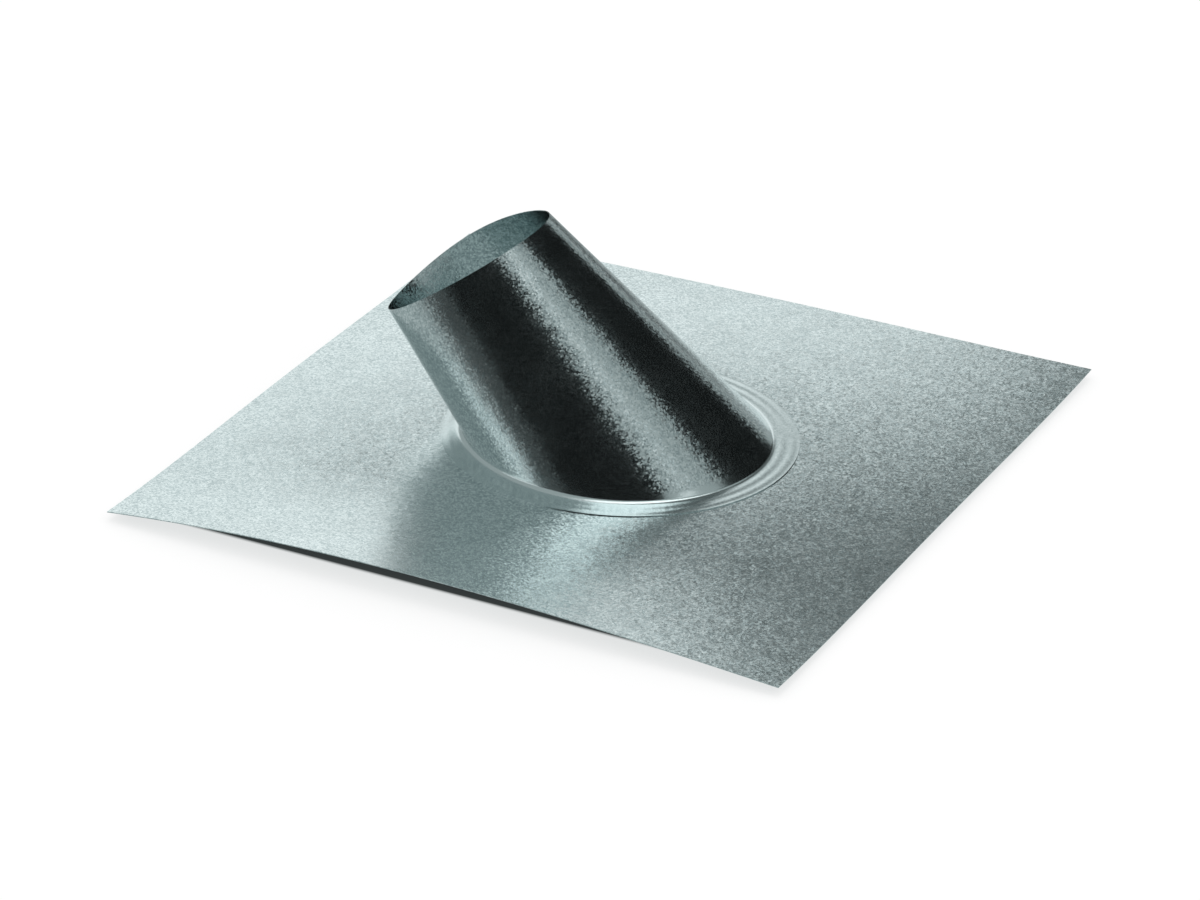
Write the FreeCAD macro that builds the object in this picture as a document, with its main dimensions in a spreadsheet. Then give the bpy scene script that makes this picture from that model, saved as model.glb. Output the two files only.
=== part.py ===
# Roof flashing boot for a round pipe: a square sheet-steel base with a drawn hole, and an
# oblique conical collar whose flared foot flange is lapped over the base around that hole.
# Frame: +Z up and square to the base, origin on the base's underside at its middle.
# The collar leans towards -X, so -X is the up-slope side of the roof.
import FreeCAD, Part
import os

import Sketcher
from FreeCAD import Placement, Rotation, Vector

# Driving dimensions in millimetres and degrees: alias, value, meaning.
DIMENSIONS = [
    ("plate_side", 457.0, "side of the square base sheet"),
    ("sheet_gauge", 0.55, "thickness of the sheet that both pieces are made from"),
    ("edge_spring", 10.0, "how far the middle of the base's front edge springs up off the roof"),
    ("flat_margin", 10.0, "flat stretch of the base between the collar's flange and that rise"),
    ("collar_shift", 6.0, "middle of the collar's foot, off the middle of the base, along +X"),
    ("foot_half_width", 88.5, "collar's foot at the bend line, half its width along Y"),
    ("foot_stretch", 9.5, "how much longer than wide each half of the foot is, along X"),
    ("flange_width", 16.5, "foot flange, from the bend line to its outer edge"),
    ("bend_radius", 4.0, "outer bend between the flange and the collar's wall"),
    ("rim_radius", 58.8, "outer radius of the open rim that the pipe passes"),
    ("rim_tilt", 34.0, "slope of the rim's plane, high on the +X side"),
    ("rim_setback", 106.5, "middle of the rim, back from the middle of the foot along -X"),
    ("rim_rise", 96.5, "middle of the rim, above the flange's underside"),
    ("neck_height", 9.0, "top of the base's upturned hole edge, above the base's underside"),
    ("seat_clearance", 0.2, "gap between the hole's upturned edge and the collar's wall"),
]

SHEET = "dims"


def size(alias):
    """The expression that reads one driving dimension."""
    return f"<<{SHEET}>>.{alias}"


GAUGE = size("sheet_gauge")
FOOT_HALF_LENGTH = f"({size('foot_half_width')} + {size('foot_stretch')})"
FLANGE_HALF_LENGTH = f"({FOOT_HALF_LENGTH} + {size('flange_width')})"
FLANGE_HALF_WIDTH = f"({size('foot_half_width')} + {size('flange_width')})"

# The base is level from its back edge to here, and its front strip springs up from there.
PLATE_HALF = f"({size('plate_side')} / 2)"
SPRING_LINE = f"({FLANGE_HALF_WIDTH} + {size('flat_margin')})"

# Wall slopes of the collar's outer skin, as rise and run of its straight lines.
FRONT_RISE = f"({size('rim_rise')} + {size('rim_radius')} * sin({size('rim_tilt')}))"
FRONT_RUN = (
    f"({FOOT_HALF_LENGTH} + {size('rim_setback')}"
    f" - {size('rim_radius')} * cos({size('rim_tilt')}))"
)
BACK_RISE = f"({size('rim_rise')} - {size('rim_radius')} * sin({size('rim_tilt')}))"
BACK_RUN = (
    f"({size('rim_setback')} + {size('rim_radius')} * cos({size('rim_tilt')})"
    f" - {FOOT_HALF_LENGTH})"
)
SIDE_RISE = size("rim_rise")
SIDE_RUN = f"({size('foot_half_width')} - {size('rim_radius')})"


def level_share(rise, run):
    """How far a wall of unit thickness reaches when it is cut level."""
    return f"(hypot({rise}; {run}) / {rise})"


def make_sheet(doc):
    sheet = doc.addObject("Spreadsheet::Sheet", SHEET)
    for row, (alias, value, meaning) in enumerate(DIMENSIONS, start=1):
        sheet.set(f"A{row}", alias)
        sheet.set(f"B{row}", str(value))
        sheet.set(f"C{row}", meaning)
        sheet.setAlias(f"B{row}", alias)
    doc.recompute()


def new_body(doc, name):
    body = doc.addObject("PartDesign::Body", name)
    body.Label = name
    return body


def sketch_on(body, role, name):
    """A sketch on one of the body's own origin planes."""
    sketch = body.newObject("Sketcher::SketchObject", name)
    plane = next(item for item in body.Origin.OriginFeatures if item.Role == role)
    sketch.AttachmentSupport = [(plane, "")]
    sketch.MapMode = "FlatFace"
    return sketch


def new_sketch(body, name, height, along_x="0", along_y="0"):
    """A sketch level with the base, at a height and a place along X and Y."""
    sketch = sketch_on(body, "XY_Plane", name)
    sketch.setExpression("AttachmentOffset.Base.x", along_x)
    sketch.setExpression("AttachmentOffset.Base.y", along_y)
    sketch.setExpression("AttachmentOffset.Base.z", height)
    return sketch


def new_cross_section(body, name, forward):
    """An upright sketch square to Y, forward of the base's middle towards -Y."""
    sketch = sketch_on(body, "XZ_Plane", name)
    sketch.setExpression("AttachmentOffset.Base.z", forward)
    return sketch


def join_ends(sketch, count):
    """Join each of a loop's lines or arcs, end to start, to the next."""
    for line in range(count):
        sketch.addConstraint(Sketcher.Constraint("Coincident", line, 2, (line + 1) % count, 1))


def set_size(sketch, name, constraint, expression):
    """Add a named dimension and drive it by an expression."""
    sketch.renameConstraint(sketch.addConstraint(constraint), name)
    sketch.setExpression(f"Constraints.{name}", expression)


def draw_rectangle(sketch, length, width):
    """A rectangle centred on the sketch's origin."""
    corners = [Vector(-1, -1, 0), Vector(1, -1, 0), Vector(1, 1, 0), Vector(-1, 1, 0)]
    for start, end in zip(corners, corners[1:] + corners[:1]):
        sketch.addGeometry(Part.LineSegment(start, end))
    join_ends(sketch, 4)
    for line in (0, 2):
        sketch.addConstraint(Sketcher.Constraint("Horizontal", line))
        sketch.addConstraint(Sketcher.Constraint("Vertical", line + 1))
    sketch.addConstraint(Sketcher.Constraint("Symmetric", 0, 1, 2, 1, -1, 1))
    set_size(sketch, "length", Sketcher.Constraint("Distance", 0, 2.0), length)
    set_size(sketch, "width", Sketcher.Constraint("Distance", 1, 2.0), width)


def draw_sprung_strip(sketch, length, rise):
    """The sheet's edge-on section: level ends, and its middle sprung up by a rise."""
    left, middle, right = Vector(-50, 0, 0), Vector(0, 5, 0), Vector(50, 0, 0)
    up = Vector(0, 1, 0)
    sketch.addGeometry(Part.Arc(left, middle, right))
    sketch.addGeometry(Part.LineSegment(right, right + up))
    sketch.addGeometry(Part.Arc(left + up, middle + up, right + up))
    sketch.addGeometry(Part.LineSegment(left + up, left))
    # An arc is kept anticlockwise, so each one starts at its right end.
    sketch.addConstraint(Sketcher.Constraint("Coincident", 0, 1, 1, 1))
    sketch.addConstraint(Sketcher.Constraint("Coincident", 1, 2, 2, 1))
    sketch.addConstraint(Sketcher.Constraint("Coincident", 2, 2, 3, 1))
    sketch.addConstraint(Sketcher.Constraint("Coincident", 3, 2, 0, 2))
    for line in (1, 3):
        sketch.addConstraint(Sketcher.Constraint("Vertical", line))
    sketch.addConstraint(Sketcher.Constraint("Symmetric", 0, 1, 0, 2, -1, 1))
    sketch.addConstraint(Sketcher.Constraint("Equal", 0, 2))
    set_size(sketch, "gauge", Sketcher.Constraint("Distance", 1, 1.0), GAUGE)
    set_size(sketch, "length", Sketcher.Constraint("DistanceX", 0, 2, 0, 1, 100.0), length)
    radius = f"(({length} / 2) ^ 2 + ({rise}) ^ 2) / (2 * {rise})"
    set_size(sketch, "radius", Sketcher.Constraint("Radius", 0, 252.5), radius)


def draw_oval(sketch, half_length, half_width):
    """An ellipse about the sketch's origin, longer along X."""
    centre = Vector(0, 0, 0)
    sketch.addGeometry(Part.Ellipse(Vector(2, 0, 0), Vector(0, 1, 0), centre))
    sketch.exposeInternalGeometry(0)
    sketch.addConstraint(Sketcher.Constraint("Coincident", 0, 3, -1, 1))
    sketch.addConstraint(Sketcher.Constraint("Horizontal", 1))
    set_size(sketch, "length", Sketcher.Constraint("Distance", 1, 4.0), f"2 * {half_length}")
    set_size(sketch, "width", Sketcher.Constraint("Distance", 2, 2.0), f"2 * {half_width}")


def draw_circle(sketch, radius):
    sketch.addGeometry(Part.Circle(Vector(0, 0, 0), Vector(0, 0, 1), 1.0))
    sketch.addConstraint(Sketcher.Constraint("Coincident", 0, 3, -1, 1))
    set_size(sketch, "radius", Sketcher.Constraint("Radius", 0, 1.0), radius)


def foot_section(body, name, height, depth):
    """The collar's foot outline, level, drawn in by a depth square to the wall."""
    front = f"{depth} * {level_share(FRONT_RISE, FRONT_RUN)}"
    back = f"{depth} * {level_share(BACK_RISE, BACK_RUN)}"
    side = f"{depth} * {level_share(SIDE_RISE, SIDE_RUN)}"
    middle = f"{size('collar_shift')} + ({back} - {front}) / 2"
    sketch = new_sketch(body, name, height, middle)
    draw_oval(
        sketch,
        f"({FOOT_HALF_LENGTH} - ({front} + {back}) / 2)",
        f"({size('foot_half_width')} - {side})",
    )
    return sketch


def rim_section(body, name, depth):
    """The rim's circle in its sloping plane, drawn in by a depth square to the wall."""
    sketch = new_sketch(
        body, name, f"{size('rim_rise')} + {GAUGE}", f"{size('collar_shift')} - {size('rim_setback')}"
    )
    sketch.AttachmentOffset = Placement(Vector(0, 0, 0), Rotation(Vector(0, 1, 0), -1.0))
    sketch.setExpression("AttachmentOffset.Rotation.Angle", f"-{size('rim_tilt')}")
    draw_circle(sketch, f"({size('rim_radius')} - {depth})")
    return sketch


def add_loft(body, kind, name, foot, rim):
    """Straight lines from the rim down to the foot, which line up best in that order."""
    loft = body.newObject(kind, name)
    loft.Profile = rim
    loft.Sections = [foot]
    loft.Ruled = True
    for section in (foot, rim):
        section.Visibility = False
    return loft


def level_edges(shape, height, half_width):
    """Names of the closed edges that lie at one height and are no wider than given."""
    names = []
    for number, edge in enumerate(shape.Edges, start=1):
        box = edge.BoundBox
        is_level = abs(box.ZMin - height) < 0.01 and abs(box.ZMax - height) < 0.01
        if is_level and edge.isClosed() and box.YLength / 2 < half_width:
            names.append(f"Edge{number}")
    return names


def add_bend(body, name, height, half_width, radius):
    """Round the wall's foot at one height to a bend radius."""
    doc = body.Document
    doc.recompute()
    base = body.Tip
    bend = body.newObject("PartDesign::Fillet", name)
    bend.Base = (base, level_edges(base.Shape, height, half_width))
    bend.setExpression("Radius", radius)
    doc.recompute()
    return bend


def number(alias):
    return FreeCAD.ActiveDocument.getObject(SHEET).get(alias)


def add_flared_wall(body, lowest, depth, inner_depth, radius, trim=None):
    """Raise the oblique wall from a level sheet, bore it out and bend its foot.

    lowest is the underside of that sheet, and depth and inner_depth are how far the
    wall's outer and inner skins lie inside the collar's outer skin.
    """
    foot = foot_section(body, f"{body.Name}_wall_foot", lowest, depth)
    rim = rim_section(body, f"{body.Name}_wall_rim", depth)
    add_loft(body, "PartDesign::AdditiveLoft", f"{body.Name}_wall", foot, rim)
    if trim:
        trim()
    body.Document.recompute()
    gauge = number("sheet_gauge")
    floor = foot.AttachmentOffset.Base.z
    widest = number("foot_half_width") + gauge
    add_bend(body, f"{body.Name}_outer_bend", floor + gauge, widest, radius)
    bore_foot = foot_section(body, f"{body.Name}_bore_foot", lowest, inner_depth)
    bore_rim = rim_section(body, f"{body.Name}_bore_rim", inner_depth)
    add_loft(body, "PartDesign::SubtractiveLoft", f"{body.Name}_bore", bore_foot, bore_rim)
    add_bend(body, f"{body.Name}_inner_bend", floor, widest, f"{radius} + {GAUGE}")


def add_sprung_edge(body):
    """The base's front strip, which leaves the level sheet smoothly and springs up."""
    start = new_cross_section(body, "spring_start", SPRING_LINE)
    draw_rectangle(start, size("plate_side"), GAUGE)
    start.setExpression("AttachmentOffset.Base.y", f"{GAUGE} / 2")
    half_way = new_cross_section(body, "spring_half_way", f"({SPRING_LINE} + {PLATE_HALF}) / 2")
    draw_sprung_strip(half_way, size("plate_side"), f"({size('edge_spring')} / 4)")
    front = new_cross_section(body, "spring_front", PLATE_HALF)
    draw_sprung_strip(front, size("plate_side"), size("edge_spring"))
    strip = body.newObject("PartDesign::AdditiveLoft", "sprung_strip")
    strip.Profile = start
    strip.Sections = [half_way, front]
    for section in (start, half_way, front):
        section.Visibility = False


def make_base_plate(doc):
    """Square sheet with its hole's edge turned up inside the collar's foot."""
    body = new_body(doc, "base_plate")
    outline = new_sketch(body, "plate_outline", "0", "0", f"({PLATE_HALF} - {SPRING_LINE}) / 2")
    draw_rectangle(outline, size("plate_side"), f"({PLATE_HALF} + {SPRING_LINE})")
    plate = body.newObject("PartDesign::Pad", "plate")
    plate.Profile = outline
    plate.setExpression("Length", GAUGE)
    add_sprung_edge(body)

    def trim_neck():
        doc.recompute()
        cover = new_sketch(body, "neck_trim_outline", size("neck_height"))
        draw_rectangle(cover, size("plate_side"), f"(2 * {FLANGE_HALF_WIDTH})")
        cut = body.newObject("PartDesign::Pocket", "neck_trim")
        cut.Profile = cover
        cut.Reversed = True
        cut.Type = "ThroughAll"

    depth = f"({GAUGE} + {size('seat_clearance')})"
    add_flared_wall(
        body, "0", depth, f"({depth} + {GAUGE})", f"{size('bend_radius')} + {GAUGE}", trim_neck
    )
    return body


def make_collar(doc):
    """Oblique cone with a round rim and a flared foot flange lapped on the base."""
    body = new_body(doc, "collar")
    outline = new_sketch(body, "flange_outline", GAUGE, size("collar_shift"))
    draw_oval(outline, FLANGE_HALF_LENGTH, FLANGE_HALF_WIDTH)
    flange = body.newObject("PartDesign::Pad", "flange")
    flange.Profile = outline
    flange.setExpression("Length", GAUGE)
    add_flared_wall(body, GAUGE, "0", GAUGE, size("bend_radius"))
    return body


def check(doc, bodies):
    """Stop unless every object recomputed and every sub-part is one sound solid."""
    failed = [item.Name for item in doc.Objects if {"Invalid", "Error"} & set(item.State)]
    if failed:
        raise RuntimeError(f"did not recompute: {failed}")
    for body in bodies:
        shape = body.Shape
        if shape.isNull() or not shape.isValid() or len(shape.Solids) != 1:
            raise RuntimeError(f"{body.Label} is not one valid solid")


def main():
    doc = FreeCAD.newDocument("pipe_flashing_boot")
    make_sheet(doc)
    bodies = [make_base_plate(doc), make_collar(doc)]
    doc.recompute()
    check(doc, bodies)
    os.makedirs("parts", exist_ok=True)
    for body in bodies:
        body.Shape.exportStep(f"parts/{body.Label}.step")
        print(body.Label, round(body.Shape.Volume, 1), body.Shape.BoundBox)


main()
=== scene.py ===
"""Galvanised roof flashing boot: the dressed look of the base sheet and its leaning collar."""
from math import acos, cos, hypot, pi, radians, sin, tan

import bmesh
import bpy
from mathutils import Matrix, Vector


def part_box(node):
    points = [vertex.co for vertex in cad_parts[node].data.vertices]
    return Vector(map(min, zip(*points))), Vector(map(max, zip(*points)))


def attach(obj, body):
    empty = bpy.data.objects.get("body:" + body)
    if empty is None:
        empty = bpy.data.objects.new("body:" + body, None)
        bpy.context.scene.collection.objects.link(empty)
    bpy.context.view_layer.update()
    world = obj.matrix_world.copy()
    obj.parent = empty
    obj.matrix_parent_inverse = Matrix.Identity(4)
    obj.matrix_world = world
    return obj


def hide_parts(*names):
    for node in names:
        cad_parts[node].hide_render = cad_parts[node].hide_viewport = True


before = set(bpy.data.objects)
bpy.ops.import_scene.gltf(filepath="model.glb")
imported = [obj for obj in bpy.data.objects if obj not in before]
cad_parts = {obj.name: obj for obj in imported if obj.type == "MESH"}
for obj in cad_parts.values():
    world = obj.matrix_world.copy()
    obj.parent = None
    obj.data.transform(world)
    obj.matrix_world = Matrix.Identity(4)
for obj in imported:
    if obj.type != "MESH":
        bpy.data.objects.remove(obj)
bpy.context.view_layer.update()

# ---------------------------------------------------------------- sizes, in metres
GAUGE = 0.00055
FLANGE_WIDTH = 0.0165
FOOT_STRETCH = 0.0095
BEND_RADIUS = 0.004
RIM_RADIUS = 0.0588
RIM_TILT = radians(34)
NECK_RISE = 0.009
SEAT_CLEARANCE = 0.0002

COLLAR_LOW, COLLAR_HIGH = (Vector(corner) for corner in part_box("collar"))
PLATE_HALF = Vector(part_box("base_plate")[1]).x

FLANGE_HALF_WIDTH = COLLAR_HIGH.y
FOOT_HALF_WIDTH = FLANGE_HALF_WIDTH - FLANGE_WIDTH
FOOT_HALF_LENGTH = FOOT_HALF_WIDTH + FOOT_STRETCH
FLANGE_HALF_LENGTH = FOOT_HALF_LENGTH + FLANGE_WIDTH
FOOT_MIDDLE = Vector((COLLAR_HIGH.x - FLANGE_HALF_LENGTH, 0.0, COLLAR_LOW.z))
RIM_MIDDLE = Vector((
    COLLAR_LOW.x + RIM_RADIUS * cos(RIM_TILT),
    0.0,
    COLLAR_HIGH.z - RIM_RADIUS * sin(RIM_TILT),
))

NECK_INSET = GAUGE + SEAT_CLEARANCE     # from the collar's outer skin to the neck's
NECK_INSET_ENDS = NECK_INSET * 1.4      # more at the oval's ends, where the wall leans most
NECK_INSET_SIDES = NECK_INSET * 1.1

# ---------------------------------------------------------------- the set of the thin sheets
FLAT_MARGIN = 0.010          # level stretch in front of the flange, before the edge springs up
EDGE_SPRING = 0.0095         # rise of the front edge's middle over its corners
EDGE_LEAN = 0.26             # how far that rise leans towards -X
CORNER_DROOP = 0.0035        # corners, below the level under the flange
SIDE_DROOP = 0.0035          # further droop of the two side edges' middles
BACK_DROOP = 0.0015          # further droop of the back edge's middle
BACK_START = -0.5            # where that droop starts, as a share of the half sheet
HIGH_CORNER_DROOP = 0.0050   # further droop of the corner behind the collar
DROOP_CURVE = 1.2
RIM_BOW = 0.0085             # how far the rim's back edge stands out of its plane
BOW_PLACE = radians(112)     # where along the rim it stands out the most
BOW_SHARPNESS = 4

# ---------------------------------------------------------------- mesh steps
COLLAR_STEPS_AROUND = 256
FLANGE_STEPS = 10
BEND_STEPS = 10
WALL_STEPS = 60
COLLAR_STEPS = FLANGE_STEPS + BEND_STEPS + WALL_STEPS

PLATE_STEPS_AROUND = 320
SHEET_STEPS = 60
COVERED_STEPS = 4
NECK_BEND_STEPS = 5
NECK_STEPS = 3
PLATE_STEPS = SHEET_STEPS + COVERED_STEPS + NECK_BEND_STEPS + NECK_STEPS

SHARP_FOLD = radians(32)
MERGE_DISTANCE = 1e-6


# ---------------------------------------------------------------- mesh helpers
def new_piece(bm, name, material):
    """A smooth-shaded object from a bmesh, with its sharp folds kept sharp."""
    bmesh.ops.recalc_face_normals(bm, faces=bm.faces)
    for face in bm.faces:
        face.smooth = True
    for edge in bm.edges:
        if len(edge.link_faces) == 2 and edge.calc_face_angle(0.0) > SHARP_FOLD:
            edge.smooth = False
    mesh = bpy.data.meshes.new(name)
    bm.to_mesh(mesh)
    bm.free()
    piece = bpy.data.objects.new(name, mesh)
    bpy.context.collection.objects.link(piece)
    mesh.materials.append(material)
    return piece


def wrapped_skin(around, along, place):
    """A closed belt of quads: place(angle, share) puts each point of a flat grid."""
    bm = bmesh.new()
    bmesh.ops.create_grid(bm, x_segments=around, y_segments=along, size=1.0)
    for vert in bm.verts:
        angle = (vert.co.x + 1.0) * pi
        share = (vert.co.y + 1.0) / 2.0
        vert.co = place(angle, share)
    bmesh.ops.remove_doubles(bm, verts=bm.verts, dist=MERGE_DISTANCE)
    return bm


def bent_corner(corner, up, out, radius, turn):
    """A point on the round bend between two directions that leave a corner."""
    opening = acos(max(-1.0, min(1.0, up.dot(out))))
    middle = corner + (up + out).normalized() * (radius / sin(opening / 2))
    start = corner + out * (radius / tan(opening / 2)) - middle
    end = corner + up * (radius / tan(opening / 2)) - middle
    return middle + start.slerp(end, turn) * radius


# ---------------------------------------------------------------- the collar's form
def oval(angle, half_length, half_width, height):
    return Vector((
        FOOT_MIDDLE.x + half_length * cos(angle),
        half_width * sin(angle),
        height,
    ))


def oval_outward(angle):
    """Level direction square to the foot's oval."""
    return Vector((FOOT_HALF_WIDTH * cos(angle), FOOT_HALF_LENGTH * sin(angle), 0.0)).normalized()


def rim_point(angle):
    """The tilted round rim, its back edge bowed out of its plane."""
    across = Vector((cos(RIM_TILT), 0.0, sin(RIM_TILT)))
    stand = (0.5 + 0.5 * cos(angle - BOW_PLACE)) ** BOW_SHARPNESS
    bow = Vector((-sin(RIM_TILT), 0.0, cos(RIM_TILT))) * RIM_BOW * stand
    return RIM_MIDDLE + RIM_RADIUS * (across * cos(angle) + Vector((0, 1, 0)) * sin(angle)) + bow


def collar_point(angle, share):
    """The collar's outer skin, from the flange's outer edge up to the rim."""
    foot = oval(angle, FOOT_HALF_LENGTH, FOOT_HALF_WIDTH, COLLAR_LOW.z + GAUGE)
    rim = rim_point(angle)
    up = (rim - foot).normalized()
    out = oval_outward(angle)
    step = round(share * COLLAR_STEPS)
    if step < FLANGE_STEPS:
        edge = oval(angle, FLANGE_HALF_LENGTH, FLANGE_HALF_WIDTH, foot.z)
        inner = bent_corner(foot, up, out, BEND_RADIUS, 0.0)
        return edge.lerp(inner, step / FLANGE_STEPS)
    step -= FLANGE_STEPS
    if step < BEND_STEPS:
        return bent_corner(foot, up, out, BEND_RADIUS, step / BEND_STEPS)
    step -= BEND_STEPS
    start = bent_corner(foot, up, out, BEND_RADIUS, 1.0)
    return start.lerp(rim, step / WALL_STEPS)


def make_collar(material):
    bm = wrapped_skin(COLLAR_STEPS_AROUND, COLLAR_STEPS, collar_point)
    bmesh.ops.solidify(bm, geom=bm.faces[:], thickness=GAUGE)
    piece = new_piece(bm, "collar_skin", material)
    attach(piece, "root")
    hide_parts("collar")
    return piece


# ---------------------------------------------------------------- the base sheet's form
def smooth_share(value, low, high):
    share = max(0.0, min(1.0, (value - low) / (high - low)))
    return share * share * (3 - 2 * share)


def ring_reach(x, y):
    """0 at the flange's edge, growing outwards over the sheet."""
    return max(0.0, hypot((x - FOOT_MIDDLE.x) / FLANGE_HALF_LENGTH, y / FLANGE_HALF_WIDTH) - 1.0)


def sheet_lift(x, y):
    """How far the thin sheet stands off the level: its front edge sprung up, the rest drooping."""
    side = x / PLATE_HALF
    back = y / PLATE_HALF
    reach = ring_reach(x, y)
    spring_line = FLANGE_HALF_WIDTH + FLAT_MARGIN
    forward = max(0.0, (-y - spring_line) / (PLATE_HALF - spring_line))
    spring = EDGE_SPRING * (1 - side * side) * (1 - EDGE_LEAN * side) * forward ** 2
    droop = (
        CORNER_DROOP / 2
        + SIDE_DROOP * side * side * (1 - back * back)
        + BACK_DROOP * smooth_share(back, BACK_START, 1.0) * (1 - side * side)
    )
    high_corner = HIGH_CORNER_DROOP * ((1 - side) * (1 + back) / 4) ** 2 * min(1.0, reach)
    return spring - droop * reach ** DROOP_CURVE - high_corner


def square_border(angle):
    reach = PLATE_HALF / max(abs(cos(angle)), abs(sin(angle)))
    return Vector((reach * cos(angle), reach * sin(angle), GAUGE))


def plate_point(angle, share):
    """The base sheet's upper skin, from the square border in to the neck's top edge."""
    corner = oval(
        angle, FOOT_HALF_LENGTH - NECK_INSET_ENDS, FOOT_HALF_WIDTH - NECK_INSET_SIDES, GAUGE,
    )
    foot = oval(angle, FOOT_HALF_LENGTH, FOOT_HALF_WIDTH, GAUGE)
    up = (rim_point(angle) - foot).normalized()
    out = oval_outward(angle)
    radius = BEND_RADIUS + GAUGE
    edge = oval(angle, FLANGE_HALF_LENGTH, FLANGE_HALF_WIDTH, GAUGE)
    step = round(share * PLATE_STEPS)
    if step < SHEET_STEPS:
        point = square_border(angle).lerp(edge, step / SHEET_STEPS)
        point.z += sheet_lift(point.x, point.y)
        return point
    step -= SHEET_STEPS
    if step < COVERED_STEPS:
        return edge.lerp(bent_corner(corner, up, out, radius, 0.0), step / COVERED_STEPS)
    step -= COVERED_STEPS
    if step < NECK_BEND_STEPS:
        return bent_corner(corner, up, out, radius, step / NECK_BEND_STEPS)
    step -= NECK_BEND_STEPS
    bend_top = bent_corner(corner, up, out, radius, 1.0)
    top = corner + up * max((NECK_RISE - GAUGE) / up.z, (bend_top - corner).length + GAUGE)
    return bend_top.lerp(top, step / NECK_STEPS)


def make_base_sheet(material):
    bm = wrapped_skin(PLATE_STEPS_AROUND, PLATE_STEPS, plate_point)
    bmesh.ops.solidify(bm, geom=bm.faces[:], thickness=GAUGE)
    piece = new_piece(bm, "base_sheet", material)
    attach(piece, "root")
    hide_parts("base_plate")
    return piece


def lowest_point(piece):
    return min(vert.co.z for vert in piece.data.vertices)


# ---------------------------------------------------------------- material helpers
MIX_FIRST, MIX_SECOND, MIX_RESULT = 6, 7, 2     # a Mix node's colour sockets


class Recipe:
    """A node material written as a chain of short calls."""

    def __init__(self, name):
        self.material = bpy.data.materials.new(name)
        self.material.use_nodes = True
        self.nodes = self.material.node_tree.nodes
        self.links = self.material.node_tree.links
        self.nodes.clear()

    def add(self, kind, **settings):
        node = self.nodes.new(kind)
        for key, value in settings.items():
            setattr(node, key, value)
        return node

    def feed(self, value, socket):
        """Link an output to a socket, or set the socket's constant."""
        if isinstance(value, bpy.types.NodeSocket):
            self.links.new(value, socket)
        else:
            socket.default_value = value

    def finish(self, shader):
        output = self.add("ShaderNodeOutputMaterial")
        self.links.new(shader.outputs[0], output.inputs["Surface"])
        return self.material

    def place(self):
        return self.add("ShaderNodeTexCoord").outputs["Object"]

    def noise(self, where, scale, detail, roughness):
        node = self.add("ShaderNodeTexNoise")
        self.feed(where, node.inputs["Vector"])
        self.feed(scale, node.inputs["Scale"])
        self.feed(detail, node.inputs["Detail"])
        self.feed(roughness, node.inputs["Roughness"])
        return node.outputs["Fac"]

    def cells(self, where, scale):
        node = self.add("ShaderNodeTexVoronoi")
        self.feed(where, node.inputs["Vector"])
        self.feed(scale, node.inputs["Scale"])
        return node.outputs["Color"]

    def spread(self, value, low, high, to_low, to_high, smooth=False):
        """Carry a value from one range over to another, held at both ends."""
        node = self.add("ShaderNodeMapRange")
        node.interpolation_type = "SMOOTHSTEP" if smooth else "LINEAR"
        for socket, number in zip(("Value", "From Min", "From Max", "To Min", "To Max"),
                                  (value, low, high, to_low, to_high)):
            self.feed(number, node.inputs[socket])
        return node.outputs["Result"]

    def figure(self, operation, first, second=0.0):
        node = self.add("ShaderNodeMath", operation=operation)
        self.feed(first, node.inputs[0])
        self.feed(second, node.inputs[1])
        return node.outputs[0]

    def vector(self, operation, first, second=None, scale=None):
        node = self.add("ShaderNodeVectorMath", operation=operation)
        self.feed(first, node.inputs[0])
        if second is not None:
            self.feed(second, node.inputs[1])
        if scale is not None:
            self.feed(scale, node.inputs["Scale"])
        return node.outputs["Vector"]

    def length(self, vector):
        node = self.add("ShaderNodeVectorMath", operation="LENGTH")
        self.feed(vector, node.inputs[0])
        return node.outputs["Value"]

    def blend(self, share, first, second):
        node = self.add("ShaderNodeMix", data_type="RGBA")
        self.feed(share, node.inputs["Factor"])
        self.feed(first, node.inputs[MIX_FIRST])
        self.feed(second, node.inputs[MIX_SECOND])
        return node.outputs[MIX_RESULT]

    def part(self, vector, axis):
        node = self.add("ShaderNodeSeparateXYZ")
        self.feed(vector, node.inputs[0])
        return node.outputs[axis]

    def red(self, colour):
        node = self.add("ShaderNodeSeparateColor")
        self.feed(colour, node.inputs[0])
        return node.outputs["Red"]

    def metal(self, colour, roughness, normal):
        shader = self.add("ShaderNodeBsdfPrincipled")
        self.feed(1.0, shader.inputs["Metallic"])
        self.feed(colour, shader.inputs["Base Color"])
        self.feed(roughness, shader.inputs["Roughness"])
        self.feed(normal, shader.inputs["Normal"])
        return self.finish(shader)


def glowing_cloth(name, colour, strength):
    recipe = Recipe(name)
    shader = recipe.add("ShaderNodeEmission")
    recipe.feed(colour, shader.inputs["Color"])
    recipe.feed(strength, shader.inputs["Strength"])
    return recipe.finish(shader)


# ---------------------------------------------------------------- the two zinc finishes
ZINC_LIGHT = (0.80, 0.87, 0.87, 1.0)
ZINC_DARK = (0.43, 0.51, 0.52, 1.0)
ZINC_BURNISHED = (0.652, 0.726, 0.730, 1.0)

FINE_CRYSTALS = 950.0        # crystals to the metre, along a line
COARSE_CRYSTALS = 430.0
SHEET_TIP = (0.065, 0.030)   # how far fine and coarse crystals tip the surface
WALL_TIP = (0.100, 0.020)
BURNISHED_TIP = (0.015, 0.0)

CLOUD_SCALE = 35.0           # broad clouds, in which the finish is duller or brighter
CLOUD_DETAIL = 4.0
CLOUD_ROUGHNESS = 0.6
CLOUD_LOW, CLOUD_HIGH = 0.3, 0.7
SHEET_ROUGHNESS = (0.25, 0.19)
COLLAR_ROUGHNESS = (0.20, 0.15)

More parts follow.
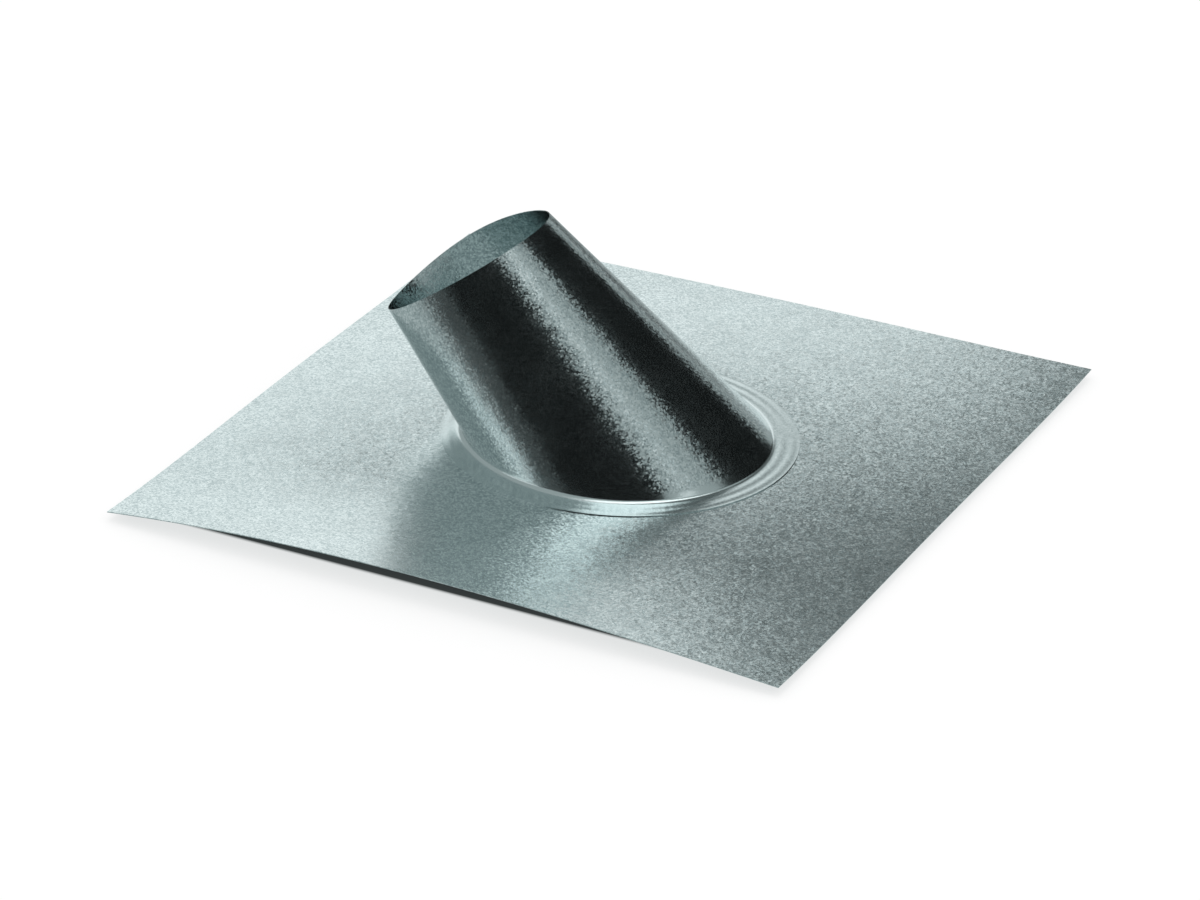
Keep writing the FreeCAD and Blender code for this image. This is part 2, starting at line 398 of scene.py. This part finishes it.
BURNISHED_TOP = 0.0035       # the burnish ends between these heights
WALL_BOTTOM = 0.0070
LINE_PITCH = 0.0062
LINE_DEPTH = 0.00003
FLATTENED = 1e6              # a scale so large that height stops counting


def crystals(recipe, where, fine_tip, coarse_tip):
    """A tone from 0 to 1 for each fine crystal, and the normal tipped by fine and coarse ones."""
    normal = recipe.add("ShaderNodeNewGeometry").outputs["Normal"]
    fine = recipe.cells(where, FINE_CRYSTALS)
    coarse = recipe.cells(where, COARSE_CRYSTALS)
    for tint, tip in ((fine, fine_tip), (coarse, coarse_tip)):
        tilt = recipe.vector("SUBTRACT", tint, (0.5, 0.5, 0.5))
        tilt = recipe.vector("SCALE", tilt, scale=tip)
        normal = recipe.vector("ADD", normal, tilt)
    return recipe.red(fine), recipe.vector("NORMALIZE", normal)


def clouded(recipe, where, dullest, brightest):
    cloud = recipe.noise(where, CLOUD_SCALE, CLOUD_DETAIL, CLOUD_ROUGHNESS)
    return recipe.spread(cloud, CLOUD_LOW, CLOUD_HIGH, dullest, brightest)


def spangled_zinc(name):
    recipe = Recipe(name)
    where = recipe.place()
    tone, normal = crystals(recipe, where, *SHEET_TIP)
    rough = clouded(recipe, where, *SHEET_ROUGHNESS)
    return recipe.metal(recipe.blend(tone, ZINC_DARK, ZINC_LIGHT), rough, normal)


def rolled_lines(recipe, where, wall, normal):
    """Shallow lines that the roller left round the flange, fading out up the wall."""
    oval_place = recipe.add("ShaderNodeMapping", vector_type="TEXTURE")
    recipe.feed(where, oval_place.inputs["Vector"])
    recipe.feed((FOOT_MIDDLE.x, 0.0, 0.0), oval_place.inputs["Location"])
    recipe.feed((FLANGE_HALF_LENGTH, FLANGE_HALF_WIDTH, FLATTENED), oval_place.inputs["Scale"])
    outwards = recipe.length(oval_place.outputs[0])
    turns = 2 * pi * FLANGE_HALF_WIDTH / LINE_PITCH
    bump = recipe.add("ShaderNodeBump")
    recipe.feed(LINE_DEPTH, bump.inputs["Distance"])
    recipe.feed(recipe.spread(wall, 0.0, 1.0, 1.0, 0.0), bump.inputs["Strength"])
    recipe.feed(
        recipe.figure("SINE", recipe.figure("MULTIPLY", outwards, turns)), bump.inputs["Height"],
    )
    recipe.feed(normal, bump.inputs["Normal"])
    return bump.outputs["Normal"]


def rolled_zinc(name):
    """Spangled on the wall, burnished smooth over the rolled flange and its bend."""
    recipe = Recipe(name)
    where = recipe.place()
    height = recipe.part(where, "Z")
    wall = recipe.spread(height, BURNISHED_TOP, WALL_BOTTOM, 0.0, 1.0, smooth=True)
    tips = [
        recipe.spread(wall, 0.0, 1.0, burnished, on_wall)
        for burnished, on_wall in zip(BURNISHED_TIP, WALL_TIP)
    ]
    tone, normal = crystals(recipe, where, *tips)
    spangle = recipe.blend(tone, ZINC_DARK, ZINC_LIGHT)
    colour = recipe.blend(wall, ZINC_BURNISHED, spangle)
    rough = clouded(recipe, where, *COLLAR_ROUGHNESS)
    return recipe.metal(colour, rough, rolled_lines(recipe, where, wall, normal))


# ---------------------------------------------------------------- studio sizes, in metres
LAMP_DISTANCE = 12.0
FLAG_DISTANCE = 10.0
TENT_RADIUS = 16.0
TENT_SKIRT = 0.1             # the tent ends this far above the floor's level
FLOOR_HALF = 60.0
CLOTH_LIFT = 0.0002          # keeps the floor cloth off the paper
GAP_DEPTH = PLATE_HALF - 0.0195     # how far in under the sheet the floor is fully dark: painted shadow at its fullest, and no glow
GAP_MOUTH = PLATE_HALF - 0.0165

CLOTH_TINT = (0.89, 1.0, 1.0, 1.0)
TENT_GLOW = 0.42
CLOTH_NEAR, CLOTH_FAR = 0.3, 1.2
CLOTH_NEAR_GLOW, CLOTH_FAR_GLOW = 0.50, 0.05
# painted shadow: the paper's colour in the gap under the sheet, then the paper's own tone outside
# it
PAINTED_GAP_SHADE, PAPER_TONE = 0.12, 0.93
PAPER_GLOW = 0.65

# name, first and last direction, width in degrees, glow
FLAGS = (
    ("front_flag", (-12, 11), (62, 52), 34, "black_cloth", 0.010),
    ("front_flag_edge", (-32, 2), (-12, 11), 22, "dim_cloth", 0.06),
    ("rear_flag", (122, 47), (174, 8), 24, "black_cloth_rear", 0.010),
    ("high_flag", (170, 28), (234, 48), 26, "half_cloth", 0.13),
)
SOFTBOXES = (
    ("side_softbox", (78, 60), (98, 60), 9, 0.55),
    ("low_softbox", (-32, 13), (-60, 13), 10, 0.9),
    ("back_softbox", (185, 6), (232, 22.5), 24, 0.66),
    ("top_softbox", (194, 60), (14, 84), 25, 1.2),
)

CAMERA_LENS = 163.2
CAMERA_SENSOR = 36.0
CAMERA_RANGE = 100.0
CAMERA_DIRECTION = (27.76, 27.84)
CAMERA_DISTANCE = 3.398
CAMERA_TARGET = Vector((0.0007, -0.0166, -CORNER_DROOP))


# ---------------------------------------------------------------- floor, lamps and camera
def facing(azimuth, elevation):
    """Direction from the object: azimuth 0 is the front (-Y), 90 its right (+X)."""
    azimuth, elevation = radians(azimuth), radians(elevation)
    return Vector((sin(azimuth) * cos(elevation), -cos(azimuth) * cos(elevation), sin(elevation)))


def panel_place(start, end, spread, distance):
    """Matrix, length and width of a flat panel that spans two directions, spread degrees wide."""
    first, last = facing(*start) * distance, facing(*end) * distance
    middle = (first + last) / 2
    along = (last - first).normalized()
    away = (middle - along * middle.dot(along)).normalized()
    turn = Matrix((along, away.cross(along), away)).transposed()
    width = 2 * middle.length * tan(radians(spread / 2))
    return Matrix.Translation(middle) @ turn.to_4x4(), (last - first).length, width


def softbox(name, start, end, spread, brightness):
    """A lamp panel between two directions; brightness 1 looks white in a mirror."""
    place, length, width = panel_place(start, end, spread, LAMP_DISTANCE)
    lamp = bpy.data.lights.new(name, "AREA")
    lamp.shape = "RECTANGLE"
    lamp.size = length
    lamp.size_y = width
    lamp.energy = brightness * pi * length * width
    panel = bpy.data.objects.new(name, lamp)
    panel.matrix_world = place
    bpy.context.collection.objects.link(panel)
    return panel


def seen_in_metal_only(piece):
    piece.visible_camera = False
    piece.visible_diffuse = False
    piece.visible_transmission = False
    piece.visible_shadow = False
    return piece


def flag(name, start, end, spread, cloth, glow):
    """A cloth panel between two directions that only reflections see."""
    place, length, width = panel_place(start, end, spread, FLAG_DISTANCE)
    bm = bmesh.new()
    bmesh.ops.create_grid(bm, x_segments=1, y_segments=1, size=0.5)
    bmesh.ops.scale(bm, vec=(length, width, 1.0), verts=bm.verts)
    bmesh.ops.transform(bm, matrix=place, verts=bm.verts)
    return seen_in_metal_only(new_piece(bm, name, glowing_cloth(cloth, CLOTH_TINT, glow)))


def make_grey_tent():
    """Grey cloth round the studio, seen only in reflections, that gives the metal its depth."""
    bm = bmesh.new()
    bmesh.ops.create_uvsphere(bm, u_segments=48, v_segments=24, radius=TENT_RADIUS)
    bmesh.ops.bisect_plane(
        bm, geom=bm.verts[:] + bm.edges[:] + bm.faces[:], plane_co=(0, 0, TENT_SKIRT),
        plane_no=(0, 0, 1), clear_inner=True,
    )
    cloth = glowing_cloth("grey_cloth", CLOTH_TINT, TENT_GLOW)
    return seen_in_metal_only(new_piece(bm, "grey_tent", cloth))


def make_floor_cloth(height):
    """Cloth on the floor, seen only in reflections: pale at the object, dark further out."""
    bm = bmesh.new()
    bmesh.ops.create_circle(bm, cap_ends=True, segments=64, radius=TENT_RADIUS)
    bmesh.ops.translate(bm, verts=bm.verts, vec=(0, 0, height + CLOTH_LIFT))
    recipe = Recipe("floor_grey")
    away = recipe.length(recipe.place())
    glow = recipe.spread(away, CLOTH_NEAR, CLOTH_FAR, CLOTH_NEAR_GLOW, CLOTH_FAR_GLOW)
    shader = recipe.add("ShaderNodeEmission")
    recipe.feed(CLOTH_TINT, shader.inputs["Color"])
    recipe.feed(glow, shader.inputs["Strength"])
    return seen_in_metal_only(new_piece(bm, "floor_cloth", recipe.finish(shader)))


def make_floor(height):
    """Pale paper that glows around the sheet, and is dark in the gap beneath it, where painted
    shadow darkens its colour on top of the real shadow there.
    """
    bm = bmesh.new()
    bmesh.ops.create_grid(bm, x_segments=1, y_segments=1, size=FLOOR_HALF)
    bmesh.ops.translate(bm, verts=bm.verts, vec=(0, 0, height))
    recipe = Recipe("pale_paper_with_painted_gap_shade")
    where = recipe.place()
    across = recipe.figure("ABSOLUTE", recipe.part(where, "X"))
    along = recipe.figure("ABSOLUTE", recipe.part(where, "Y"))
    outwards = recipe.figure("MAXIMUM", across, along)
    # painted shadow: the paper's colour falls to a dark grey in the gap under the sheet's edge
    tone = recipe.spread(outwards, GAP_DEPTH, GAP_MOUTH, PAINTED_GAP_SHADE, PAPER_TONE)
    share = recipe.spread(outwards, GAP_DEPTH, GAP_MOUTH, 0.0, PAPER_GLOW)
    path = recipe.add("ShaderNodeLightPath").outputs
    mirrored = recipe.figure("ADD", path["Is Glossy Ray"], path["Is Transmission Ray"])
    seen = recipe.figure("ADD", path["Is Camera Ray"], mirrored)
    paper = recipe.add("ShaderNodeBsdfDiffuse")
    recipe.feed(tone, paper.inputs["Color"])
    glow = recipe.add("ShaderNodeEmission")
    surface = recipe.add("ShaderNodeMixShader")
    recipe.feed(recipe.figure("MULTIPLY", seen, share), surface.inputs[0])
    recipe.feed(paper.outputs[0], surface.inputs[1])
    recipe.feed(glow.outputs[0], surface.inputs[2])
    floor = new_piece(bm, "floor", recipe.finish(surface))
    return floor


def make_world():
    world = bpy.data.worlds.new("white_studio")
    world.use_nodes = True
    background = world.node_tree.nodes["Background"]
    background.inputs["Color"].default_value = (1, 1, 1, 1)
    background.inputs["Strength"].default_value = 1.0
    bpy.context.scene.world = world


def make_camera():
    lens = bpy.data.cameras.new("camera")
    lens.lens = CAMERA_LENS
    lens.sensor_width = CAMERA_SENSOR
    lens.clip_end = CAMERA_RANGE
    camera = bpy.data.objects.new("camera", lens)
    towards = facing(*CAMERA_DIRECTION)
    camera.location = CAMERA_TARGET + towards * CAMERA_DISTANCE
    camera.rotation_euler = towards.to_track_quat("Z", "Y").to_euler()
    bpy.context.collection.objects.link(camera)
    bpy.context.scene.camera = camera


base_sheet = make_base_sheet(spangled_zinc("spangled_zinc_sheet"))
make_collar(rolled_zinc("rolled_zinc_collar"))

make_camera()
make_world()
make_floor(lowest_point(base_sheet))
make_floor_cloth(lowest_point(base_sheet))
make_grey_tent()
for panel in FLAGS:
    flag(*panel)
for panel in SOFTBOXES:
    softbox(*panel)

bpy.context.scene.view_settings.view_transform = "Standard"
